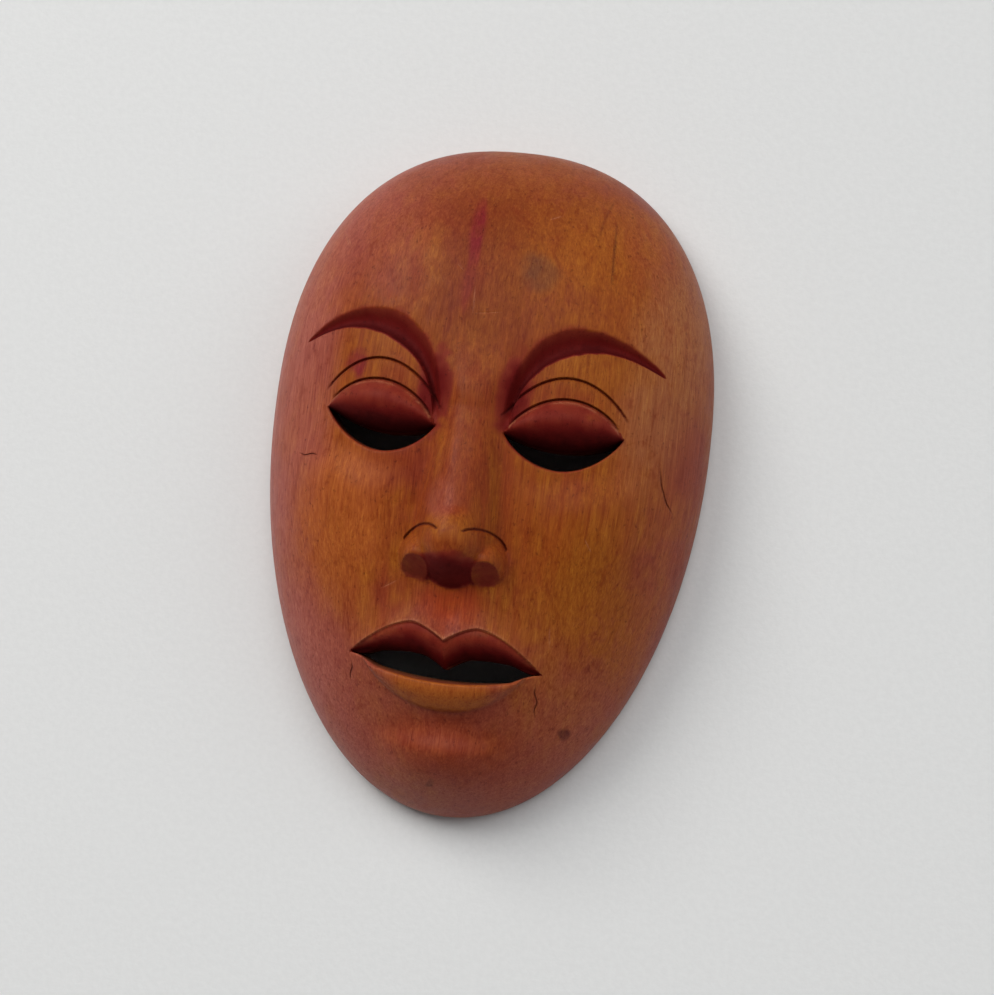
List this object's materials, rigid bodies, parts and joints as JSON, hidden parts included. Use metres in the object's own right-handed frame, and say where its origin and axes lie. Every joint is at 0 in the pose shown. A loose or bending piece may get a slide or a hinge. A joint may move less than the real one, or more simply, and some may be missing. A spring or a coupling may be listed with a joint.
{
  "type": "carved face mask",
  "caption": "Carved wooden face mask: long gouged brows, lowered lids over open eye slots, open mouth slot, hollow back, flat rim to lie or hang on.",
  "frame": {"origin": "on the floor under the middle of the mask's bounding box, which is the plane of its flat back rim", "axes": "+Z out of the face, +Y to the forehead, +X to the viewer's right when the face is seen from the front"},
  "size_m": [0.164, 0.25, 0.0739],
  "materials": {
    "red_hardwood": "oiled, satin"
  },
  "bodies": {
    "root": {"carved_mask": "red_hardwood"}
  },
  "joints": []
}
